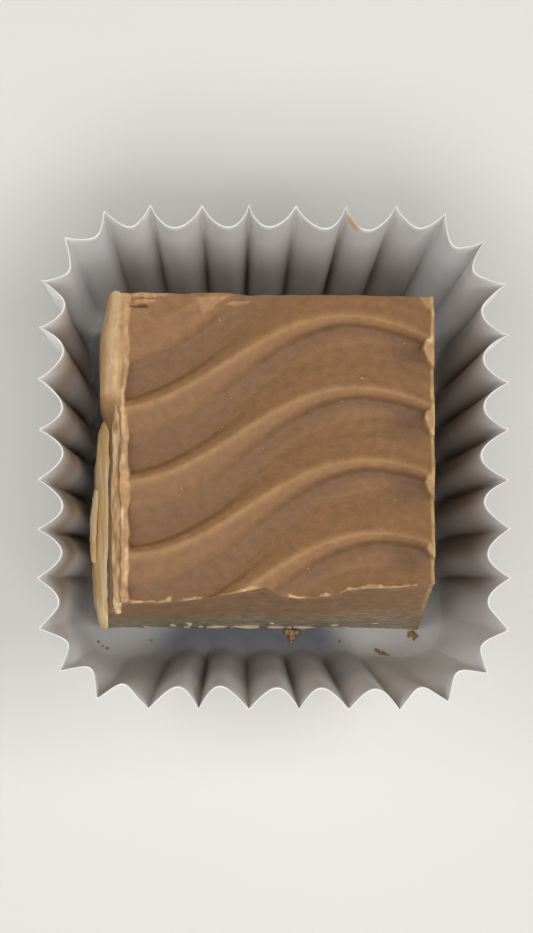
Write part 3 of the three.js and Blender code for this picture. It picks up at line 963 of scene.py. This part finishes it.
def ribbon(path, width, thickness, lean, seed, roughness, raggedness, narrowing):
    """A flat oval section carried along a smoothed path, narrowing at both ends, with rough skin.

    Each side frays by the raggedness, and a small narrowing leaves blunt ends.
    """
    path = np.asarray(path, dtype=float)
    knots = np.linspace(0, 1, len(path))
    steps = np.linspace(0, 1, RIBBON_STEPS)
    line = np.stack([np.interp(steps, knots, column) for column in path.T], axis=1)
    for _ in range(RIBBON_SMOOTHINGS):
        line[1:-1] = (line[:-2] + 2 * line[1:-1] + line[2:]) / 4
    forward = np.gradient(line, axis=0)
    forward /= np.linalg.norm(forward, axis=1, keepdims=True)
    aside = np.cross([0, 0, 1], forward)
    aside /= np.linalg.norm(aside, axis=1, keepdims=True)
    above = np.cross(forward, aside)
    across = aside * np.cos(lean) + above * np.sin(lean)
    outward = above * np.cos(lean) - aside * np.sin(lean)
    angle = 2 * np.pi * np.arange(RIBBON_AROUND) / RIBBON_AROUND
    taper = TIP_SHARE + (1 - TIP_SHARE) * (4 * steps * (1 - steps)) ** narrowing
    draw = np.random.default_rng(seed)
    rough = draw.uniform(1 - roughness, 1 + roughness, (RIBBON_STEPS, RIBBON_AROUND))
    reach = (taper[:, None] * rough)[:, :, None]
    near, far = [
        wander(steps + start, FRAY, seed) + FINE_FRAY_SHARE * wander(steps + start, FINE_FRAY, seed + 1)
        for start in FRAY_STARTS
    ]
    fray = blend(near[:, None], far[:, None], (1 + np.cos(angle)) / 2)
    breadth = width * (1 + raggedness * fray)
    spread = across[:, None, :] * (np.cos(angle) * breadth / 2)[:, :, None]
    lift = outward[:, None, :] * (np.sin(angle)[None, :, None] * thickness / 2)
    rings = line[:, None, :] + reach * (spread + lift)
    points = np.concatenate([rings.reshape(-1, 3), line[:1], line[-1:]])
    quads = grid_faces(RIBBON_STEPS, RIBBON_AROUND, around=True)
    return points, quads, end_fans(RIBBON_STEPS, RIBBON_AROUND, len(points) - 2)


# %% [markdown]
# The shaving is a paler, olive-tan strip, because the knife bared nut paste. Lines run along it.

# %% Shaved nougat material
LINE_LIMITS = (0.4, 0.6)

shaved, tree, shader, where = new_material("shaved_nut_nougat")
lines = noise(tree, stretched(tree, where, (1.0, 0.08, 0.5)), scale=per_size(0.45), detail=3.0)
fill(tree, shader, {
    "Base Color": mixed(tree, share_between(tree, lines, *LINE_LIMITS), "#f3c98d", "#ffe9bf"),
    "Normal": bump(tree, lines, strength=0.5, millimetres=0.1),
    "Roughness": 0.55,
    "IOR": 1.45,
    "Subsurface Weight": 0.15,
    "Subsurface Radius": (1.0, 0.6, 0.3),
    "Subsurface Scale": 0.4 * MM,
})
print("material:", shaved.name)

# %% Shaving on the left side
# Each strip: its path, its breadth, its thickness, and its lean in degrees from flat
SHAVING_STRIPS = [
    ([(-13.5, 3.6, 10.8), (-13.75, 2.4, 10.6), (-13.85, 0, 10.4), (-13.85, -4, 10.2),
      (-13.9, -8, 9.8), (-13.85, -11, 9.2), (-13.6, -13.4, 8.4)], 1.9, 0.4, 56),
    ([(-13.8, 1.8, 9.2), (-14.1, 0, 9.0), (-14.15, -4, 8.8), (-14.2, -8, 8.4),
      (-14.15, -10.5, 8.0), (-13.8, -12.9, 7.4)], 1.5, 0.3, 60),
    ([(-14.3, -2.0, 10.2), (-14.5, -4.0, 10.0), (-14.58, -6.0, 9.8), (-14.5, -8.0, 9.4)], 0.85, 0.35, 50),
]
SHAVING_SEED = 51

shaving = joined([
    ribbon(path, breadth, thickness, np.radians(lean), SHAVING_SEED + strip,
           roughness=0.06, raggedness=0.12, narrowing=0.25)
    for strip, (path, breadth, thickness, lean) in enumerate(SHAVING_STRIPS)
])
make_piece("side_shaving", shaving, shaved)

# %% Torn ribbon along the left edge
TORN_RIBBON = [(-12.65, 4.6, 18.9), (-12.78, 2.0, 18.9), (-12.83, -3, 18.9), (-12.81, -8, 18.9),
               (-12.73, -12.5, 18.8), (-12.72, -13.2, 17.9)]
TORN_PALE = 0.9
TORN_STREAKS = 0.7
TORN_STREAK_FINENESS = 4

torn = ribbon(TORN_RIBBON, width=0.84, thickness=0.36, lean=np.radians(22), seed=61,
              roughness=0.05, raggedness=0.22, narrowing=0.15)
torn_x, torn_y, torn_z = torn[0].T + START
torn_streaks = relief(TORN_STREAK_FINENESS * (torn_x + torn_z), torn_y, spacing=0.9, seed=65)
torn_fresh = TORN_PALE + TORN_STREAKS * torn_streaks
torn_notes = nougat_notes(len(torn[0]), fresh=torn_fresh, pull=torn_y, across=torn_x)
make_piece("torn_ribbon", torn, nougat, torn_notes)

# %% [markdown]
# ## Nut slivers, crumbs and specks
# Chopped nuts show in the lower part of the cut sides as cream slivers that lie along the cut. A few
# crumbs have dropped on the paper in front of the cube, and specks lie on the top. All are lumpy
# pebbles of a few dozen faces, stretched and turned one by one, and each kind is one piece.

# %% Many pebbles at once
PEBBLE_RINGS = 4
PEBBLE_AROUND = 8
PEBBLE_LUMPS = 0.32


def pebbles(centres, sizes, turns, seed):
    """Lumpy balls: rings between two poles with random radii, stretched, turned about Z and placed."""
    rise = np.pi * np.arange(1, PEBBLE_RINGS + 1) / (PEBBLE_RINGS + 1) - np.pi / 2
    angle = 2 * np.pi * np.arange(PEBBLE_AROUND) / PEBBLE_AROUND
    ring_x = np.cos(rise)[:, None] * np.cos(angle)
    ring_y = np.cos(rise)[:, None] * np.sin(angle)
    ring_z = np.sin(rise)[:, None]
    ball = np.concatenate([points_at(ring_x, ring_y, ring_z), [[0, 0, -1], [0, 0, 1]]])
    draw = np.random.default_rng(seed)
    lumps = draw.uniform(1 - PEBBLE_LUMPS, 1 + PEBBLE_LUMPS, (len(centres), len(ball), 1))
    local = ball[None] * lumps * np.asarray(sizes)[:, None, :] / 2
    cosine, sine = np.cos(turns)[:, None], np.sin(turns)[:, None]
    turned = np.stack([
        local[..., 0] * cosine - local[..., 1] * sine,
        local[..., 0] * sine + local[..., 1] * cosine,
        local[..., 2],
    ], axis=-1)
    points = (turned + np.asarray(centres)[:, None, :]).reshape(-1, 3)
    caps = end_fans(PEBBLE_RINGS, PEBBLE_AROUND, len(ball) - 2)
    starts = len(ball) * np.arange(len(centres))[:, None, None]
    quads = (grid_faces(PEBBLE_RINGS, PEBBLE_AROUND, around=True)[None] + starts).reshape(-1, 4)
    return points, quads, (caps[None] + starts).reshape(-1, 3)


# %% [markdown]
# Chopped nut is dry and matt, cream with browner skin in places.

# %% Chopped nut material
nut, tree, shader, where = new_material("chopped_nut")
patches = noise(tree, where, scale=per_size(0.9), detail=3.0)
fill(tree, shader, {
    "Base Color": mixed(tree, patches, "#c0ab84", "#ece3ca"),
    "Normal": bump(tree, patches, strength=0.4, millimetres=0.1),
    "Roughness": 0.65,
    "IOR": 1.47,
})
print("material:", nut.name)

# %% Nut slivers in the cut sides
SLIVERS_PER_SIDE = 16
SLIVER_REACH = 11
SLIVER_LOWEST = 0.7
SLIVER_SPREAD = 2.6
SLIVER_LENGTHS = (0.25, 0.8)
SLIVER_HEIGHTS = (0.1, 0.2)
SLIVER_THICKNESS = 0.22
# How far the middle of a sliver is sunk in the front and left cut, in the other two, and at the foot
SUNK = 0.08
SUNK_BEHIND = 0.1
FOOT_SUNK = 0.06
# Larger slivers at the foot of the front cut: X, Z and length
FOOT_SLIVERS = [(-4.2, 1.1, 1.9), (-1.6, 1.35, 2.6), (0.9, 1.2, 1.7), (3.2, 1.0, 2.0), (-7.8, 2.2, 0.7)]
FOOT_THICKNESS = 0.3

draw = np.random.default_rng(71)
every_side = (4, SLIVERS_PER_SIDE)
sliver_along = draw.uniform(-SLIVER_REACH, SLIVER_REACH, every_side)
sliver_z = SLIVER_LOWEST + SLIVER_SPREAD * draw.uniform(0, 1, every_side) ** 2
sliver_length = draw.uniform(*SLIVER_LENGTHS, every_side)
sliver_tall = draw.uniform(*SLIVER_HEIGHTS, every_side)
front_y = blend(front_edge(sliver_along[0]), FRONT_FOOT, 1 - sliver_z[0] / CUBE_TOP)
left_flare = bulge_share(CUBE_TOP - sliver_z[3], sliver_along[3])
left_x = blend(LEFT_EDGE, left_foot(sliver_along[3]), left_flare)
large_x, large_z, large_length = np.array(FOOT_SLIVERS).T
centres = np.concatenate([
    points_at(sliver_along[0], front_y + SUNK, sliver_z[0]),
    points_at(RIGHT_FOOT - SUNK_BEHIND, sliver_along[1], sliver_z[1]),
    points_at(sliver_along[2], BACK_FOOT - SUNK_BEHIND, sliver_z[2]),
    points_at(left_x + SUNK, sliver_along[3], sliver_z[3]),
    points_at(large_x, FRONT_FOOT + FOOT_SUNK, large_z),
])
sizes = np.concatenate([
    points_at(sliver_length, SLIVER_THICKNESS, sliver_tall),
    points_at(large_length, FOOT_THICKNESS, FOOT_THICKNESS),
])
turns = np.repeat([0, np.pi / 2, 0, np.pi / 2], SLIVERS_PER_SIDE)
turns = np.concatenate([turns, np.zeros(len(FOOT_SLIVERS))])
make_piece("nut_slivers", pebbles(centres, sizes, turns, seed=72), nut)

# %% Crumbs and specks
PAPER_FLOOR = 0.3
# Each crumb and speck: X, Y and size
CRUMBS = [
    (2.25, -12.75, 0.8), (1.85, -12.65, 0.6), (2.65, -12.7, 0.6), (2.3, -13.15, 0.6), (2.25, -13.5, 0.35),
    (12.3, -12.7, 0.6), (12.6, -12.9, 0.5), (12.1, -12.95, 0.35), (12.5, -13.2, 0.3),
    (9.3, -14.05, 0.3), (9.5, -14.2, 0.4), (9.8, -14.35, 0.4), (10.1, -14.5, 0.35), (10.4, -14.6, 0.25),
    (-14.0, -13.6, 0.4), (-13.2, -14.1, 0.3), (-13.6, -13.9, 0.22), (6.3, -13.4, 0.25),
    (-3.0, -13.2, 0.25), (-9.5, -13.4, 0.24),
]
SPECKS = [
    (-10.05, 11.0, 0.32), (-7.0, 10.15, 0.3), (-4.5, 10.7, 0.42), (-8.8, 8.3, 0.24), (-3.6, 4.3, 0.3),
    (-4.3, 1.9, 0.28), (-1.0, 0.2, 0.28), (7.0, 5.9, 0.4), (-7.6, -3.2, 0.42), (5.4, 4.1, 0.25),
    (9.6, -4.0, 0.28), (2.6, -9.6, 0.25), (10.5, 8.9, 0.25), (-0.2, -7.4, 0.24),
]
CRUMB_SHAPE = np.array([[1.0, 0.75, 0.5]])
CRUMB_LIFT = 0.2
CRUMB_FRESH = 0.8
SPECK_SHAPE = np.array([[1.0, 0.7, 0.3]])
SPECK_FRESH = 0.4


def scattered(name, places, heights, sizes, seed, fresh):
    """A piece of pebbles at plan places and heights: the seed turns them, the next one shapes them."""
    turns = np.random.default_rng(seed).uniform(0, np.pi, len(places))
    shape = pebbles(np.column_stack([places, heights]), sizes, turns, seed + 1)
    make_piece(name, shape, nougat, nougat_notes(len(shape[0]), fresh=fresh))


crumb_places, crumb_size = np.hsplit(np.array(CRUMBS), [2])
crumb_heights = PAPER_FLOOR + CRUMB_LIFT * crumb_size
scattered("paper_crumbs", crumb_places, crumb_heights, crumb_size * CRUMB_SHAPE, 73, CRUMB_FRESH)
speck_places, speck_size = np.hsplit(np.array(SPECKS), [2])
speck_heights = top_surface(*speck_places.T)[0]
scattered("top_specks", speck_places, speck_heights, speck_size * SPECK_SHAPE, 75, SPECK_FRESH)

# %% [markdown]
# ## The paper case
# The case is a sheet of greaseproof paper pressed over a square former. Its base is flat, and its wall
# is gathered into thirty-six flutes that open towards the rim: sharp creases outside, round columns
# inside. One grid runs from the middle of the underside out, up the outside, over the rim, down the
# inside and back to the middle, so the sheet is closed and has a real thickness.

# %% Outline of the case
def rounded_outline(turn, half_x, half_y, corner):
    """Point and outward direction on a rounded rectangle, a turn of 0 to 1 from the right's middle.

    Each quarter runs along half a side, round a corner's arc and along half the next side, by length.
    """
    quarter = np.floor(turn * 4).astype(int) % 4
    odd = quarter % 2 == 1
    reach = np.where(odd, half_y, half_x)
    span = np.where(odd, half_x, half_y)
    straight = span - corner
    arc = np.pi / 2 * corner
    along = (turn * 4 % 1) * (straight + arc + reach - corner)
    angle = np.clip((along - straight) / corner, 0, np.pi / 2)
    past = np.maximum(0, along - straight - arc)
    out = np.stack([np.cos(angle), np.sin(angle)])
    point = np.stack([reach - corner - past, np.minimum(along, straight)]) + corner * out
    cosine, sine = np.cos(quarter * np.pi / 2), np.sin(quarter * np.pi / 2)
    spin = [[cosine, -sine], [sine, cosine]]
    return [(line[0] * pair[0] + line[1] * pair[1]) for pair in (point, out) for line in spin]


# %% Fluted wall
FLUTES = 36
COLUMNS_PER_FLUTE = 24
WALL_ROWS = 30
CASE_HEIGHT = 17
BASE_HALF = 15.0
BASE_CORNER = 3.2
RIM_HALF_X = 19.35
RIM_HALF_Y = 20.9
RIM_CORNER = 8.5
FLUTE_DEPTH = 2.1
FRONT_FLUTE_DEPTH = 1.75
FLUTE_START = 0.65
FLUTE_GROWTH = 0.8
FOOT_SHARPNESS = 0.7
BACK_RIM_SHARPNESS = 0.6
FRONT_RIM_SHARPNESS = 1.0
FRONT_CALM = 0.9
BACK_CALM = 0.6
# The flutes grow calm between these two, where 0 is the middle of a side and 1 is a corner
CALM_LIMITS = (0.6, 0.95)
FLUTE_SHIFT = 0.08
FLUTE_VARIETY = 0.16
RIM_WAVE = 0.18
PAPER = 0.14
FOLD_HEIGHT = 1.2
FOLD_INSET = 0.22
RIM_ROUND = 0.06


def towards_corner(turn):
    """0 in the middle of each side of the case and 1 at each corner."""
    return np.abs(np.sin(4 * np.pi * turn))


def case_wall(turn, rise, inset):
    """Points of the wall at a turn and a rise from 0 to 1: the outline, pushed in by its flutes.

    A flute pushes in by its depth times the size of a cosine, taken to a power, so creases point out
    and the columns between them are round. A power below one makes a narrow crease, as at the back,
    and a higher one an open crease, as in front, where the flutes are shallower too. The corners are
    calmer near the foot, above all in front. Depth, width and rim height vary from flute to flute.
    """
    count = turn * FLUTES
    towards_back = np.sin(2 * np.pi * turn)
    shifted = count + FLUTE_SHIFT * wander(count, spacing=1.0, seed=81, knots=FLUTES)
    rim_sharpness = blend(FRONT_RIM_SHARPNESS, BACK_RIM_SHARPNESS, (1 + towards_back) / 2)
    column = np.abs(np.cos(np.pi * shifted)) ** blend(FOOT_SHARPNESS, rim_sharpness, rise)
    variety = 1 + FLUTE_VARIETY * wander(count + 0.5, spacing=1.0, seed=82, knots=FLUTES)
    half_x = blend(BASE_HALF, RIM_HALF_X, rise)
    half_y = blend(BASE_HALF, RIM_HALF_Y, rise)
    corner = blend(BASE_CORNER, RIM_CORNER, rise)
    x, y, out_x, out_y = rounded_outline(turn, half_x, half_y, corner)
    calming = np.where(turn > 0.5, FRONT_CALM * (1 - rise ** 2), BACK_CALM * (1 - rise))
    calm = 1 - calming * smooth_step(towards_corner(turn), *CALM_LIMITS)
    rim_depth = blend(FLUTE_DEPTH, FRONT_FLUTE_DEPTH, np.maximum(0, -towards_back))
    depth = blend(FLUTE_START, rim_depth, rise ** FLUTE_GROWTH) * variety * calm * column
    foot = FOLD_INSET * (1 - smooth_step(rise * CASE_HEIGHT, 0, FOLD_HEIGHT))
    push = depth + foot + inset
    z = rise * (CASE_HEIGHT + RIM_WAVE * wander(count, spacing=2.0, seed=83, knots=FLUTES // 2))
    return np.stack([x - push * out_x, y - push * out_y, z], axis=-1), column


turn = np.arange(FLUTES * COLUMNS_PER_FLUTE) / (FLUTES * COLUMNS_PER_FLUTE)
rise = np.linspace(0, 1, WALL_ROWS + 1)[:, None]
outside, column = case_wall(turn[None, :], rise, 0.0)
inside, _ = case_wall(turn[None, :], rise[::-1], PAPER)
inside[..., 2] = PAPER_FLOOR + inside[..., 2] * (1 - PAPER_FLOOR / CASE_HEIGHT)
edge = (outside[-1:] + inside[:1]) / 2 + np.array([0, 0, RIM_ROUND])
print("case columns:", len(turn), "rim height:", round(float(edge[..., 2].max()), 2))

# %% Base of the case and its one closed grid
BASE_RINGS = np.array([0.55, 0.8, 0.92])
# The floor is puckered beside the wall and level further in
PUCKER = 0.05
PUCKER_BY_RING = np.array([1.0, 0.5, 0.0])
PUCKERS = 51

under_rings = outside[:1] * BASE_RINGS[:, None, None]
floor_rings = inside[-1:] * np.array([1, 1, 0]) * BASE_RINGS[::-1, None, None]
pucker = PUCKER * (wander(turn * FLUTES, spacing=0.7, seed=84, knots=PUCKERS) - 1)
floor_rings[..., 2] = PAPER_FLOOR + np.minimum(0, pucker[None, :] * PUCKER_BY_RING[:, None])
grid = np.concatenate([under_rings, outside, edge, inside, floor_rings])
rows, columns = grid.shape[:2]
case_points = np.concatenate([grid.reshape(-1, 3), [[0, 0, 0]], [[0, 0, PAPER_FLOOR]]])
case_caps = end_fans(rows, columns, len(case_points) - 2)
case_shape = (case_points, grid_faces(rows, columns, around=True), case_caps)
print("case points:", len(case_points))

# %% [markdown]
# What lies on the paper is noted point by point. The base and the inside of the wall are darker and
# greyer, partly from fat soaked in from the cube and partly as painted shade; the left wall, the front
# corners and the tips of the creases are spared it. On the left and right walls, and a little at the
# back, a thin brown tint is a painted warm reflection of the nougat. Creases carry painted shade in the
# lower half of the wall, and the cut rim is paler.

# %% Rows of the case and the sides that they pass
# A side's share rises while the cosine of the turn from its middle goes from the first to the second
SIDE_LIMITS = (0.72, 0.95)
# The same for a corner, where 0 is the middle of a side and 1 is the corner
SPARED_LIMITS = (0.62, 1.0)
# The corners, the front ones most, are spared the fat and painted shade, so they stay lighter
GREASE_AND_SHADE_SHIFT = 0.012
FRONT_RIGHT_SPARED = 1.0
FRONT_LEFT_SPARED = 0.78
BACK_CORNERS_SPARED = 0.3
HIGH_LIMITS = (0.45, 0.8)


def by_row(outside_wall, on_rim, inside_wall, on_floor):
    """A number for each row of the grid: 0 underneath, then up outside, the rim, down inside, floor."""
    base = np.zeros(len(BASE_RINGS))
    return np.concatenate([base, outside_wall, [on_rim], inside_wall[::-1], base + on_floor])[:, None]


up = rise[:, 0]
nowhere = np.zeros(len(up))
inner_wall = by_row(nowhere, 0, up > 0, 0)
high = by_row(nowhere, 0, smooth_step(up, *HIGH_LIMITS), 0)
towards_right, towards_back = np.cos(2 * np.pi * turn), np.sin(2 * np.pi * turn)
on_right, on_left, on_back, on_front = [
    smooth_step(towards, *SIDE_LIMITS)
    for towards in (towards_right, -towards_right, towards_back, -towards_back)
]
spared = np.select([turn > 0.75, turn > 0.5], [FRONT_RIGHT_SPARED, FRONT_LEFT_SPARED], BACK_CORNERS_SPARED)
from_corner = 1 - spared * smooth_step(towards_corner(turn + GREASE_AND_SHADE_SHIFT), *SPARED_LIMITS)
print("rows noted:", len(high), "of", rows)

# %% Fat and painted shade, painted reflection, crease shade and rim of the case
FOOT_GREASE_AND_SHADE = 0.85
WALL_GREASE_AND_SHADE = 0.51
RIM_GREASE_AND_SHADE = 0.38
FRONT_FOOT_GREASE_AND_SHADE = 0.22
FRONT_HIGH_SPARED = 0.45
RIGHT_BOUNCE = 0.4
LEFT_BOUNCE_LOW = 0.12
LEFT_BOUNCE_HIGH = 0.62
BACK_BOUNCE = 0.17
CREASE_NARROWING = 1.6
CREASE_STARTS = (0, 0.15)
CREASE_ENDS = (0.25, 0.75)
# Towards the rim the fat, painted shade and painted reflection fade a little, and at the tips of the
# creases they are gone, so the tips are painted lighter
NEAR_RIM = (0.6, 1.0)
RIM_SPARED = 0.15
WALL_RIM = 0.3

in_crease = (1 - column[-1]) ** CREASE_NARROWING
# Fat and painted shade in one: full on the case floor, less up the inner wall, spared on the left wall
# and high in front, stronger low in front
wall_grease_and_shade = np.where(up == 0, FOOT_GREASE_AND_SHADE, blend(WALL_GREASE_AND_SHADE, RIM_GREASE_AND_SHADE, up))
grease_and_shade = by_row(nowhere, 0, wall_grease_and_shade, 1) * from_corner * (1 - inner_wall * on_left)
grease_and_shade = grease_and_shade * (1 - FRONT_HIGH_SPARED * high * on_front)
grease_and_shade = grease_and_shade + FRONT_FOOT_GREASE_AND_SHADE * inner_wall * (1 - high) * on_front
# Painted warm reflection of the nougat, brown and darker, on the left, right and back walls
left_bounce = blend(LEFT_BOUNCE_LOW, LEFT_BOUNCE_HIGH, high)
nougat_bounce = inner_wall * (RIGHT_BOUNCE * on_right + left_bounce * on_left + BACK_BOUNCE * on_back)
rim_share = smooth_step(up, *NEAR_RIM)
kept = 1 - by_row(rim_share, 1, rim_share, 0) * blend(RIM_SPARED, 1, in_crease)
# Painted shade in the creases, from the foot up to the middle of the wall and fading towards the rim
crease_shade_share = smooth_step(up, *CREASE_STARTS) * (1 - smooth_step(up, *CREASE_ENDS))
crease_shade = by_row(crease_shade_share, 0, crease_shade_share, 0) * from_corner * in_crease
wall_rim = WALL_RIM * (up == 1)
rim_note = by_row(wall_rim, 1, wall_rim, 0) * np.ones(columns)
# The last two numbers are for the middle of the underside and of the floor
case_notes = {
    "rim": np.append(rim_note.ravel(), [0, 0]),
    "crease_shade": np.append(crease_shade.ravel(), [0, 0]),
    "grease_and_shade": np.append((grease_and_shade * kept).ravel(), [0, 1]),
    "nougat_bounce": np.append((nougat_bounce * kept).ravel(), [0, 0]),
}
print("notes:", sorted(case_notes))

# %% [markdown]
# Greaseproof paper is dense, matt and white, with cloudy fibres. Where it has soaked up fat, and where
# shade is painted on, it is darker and greyer; painted shade darkens the creases, and a painted warm
# reflection of the nougat browns the side walls. The cut rim shows white fibres and catches the light,
# and one greasy spot near the rim has gone yellow.

# %% Greaseproof paper material
STAIN_PLACE = Vector((6.4, 19.2, 16.8)) * MM
STAIN_OUTER = 1.1 * MM
STAIN_INNER = 0.44 * MM
STAIN_STRENGTH = 0.75
# Painted shade lies in the crease and grease colours, and a painted warm reflection of the nougat in the
# bounce colour
# What lies on the sheet, from below upwards
PAPER_COLOURS = {"crease_shade": "#918e8a", "grease_and_shade": "#75787d", "nougat_bounce": "#7f6141", "rim": "#ebe8e3"}

paper, tree, shader, where = new_material("greaseproof_paper")
notes = noted(tree, case_notes)
clouds = noise(tree, where, scale=per_size(3.5), detail=4.0)
fibres = noise(tree, where, scale=per_size(0.35), detail=3.0)
colour = mixed(tree, clouds, "#e2e1df", "#f0f0ef")
for title, layer_colour in PAPER_COLOURS.items():
    colour = mixed(tree, notes[title], colour, layer_colour)
stain_way = add_node(tree, "VectorMath", {0: where, 1: STAIN_PLACE}, operation="DISTANCE")
stain_share = share_between(tree, stain_way.outputs["Value"], STAIN_OUTER, STAIN_INNER, STAIN_STRENGTH)
fill(tree, shader, {
    "Base Color": mixed(tree, stain_share, colour, "#cf9d55"),
    "Normal": bump(tree, fibres, strength=0.3, millimetres=0.05),
    "Roughness": 0.85,
    "IOR": 1.5,
})

case = make_piece("fluted_case", case_shape, paper, case_notes)
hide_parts("paper_case")
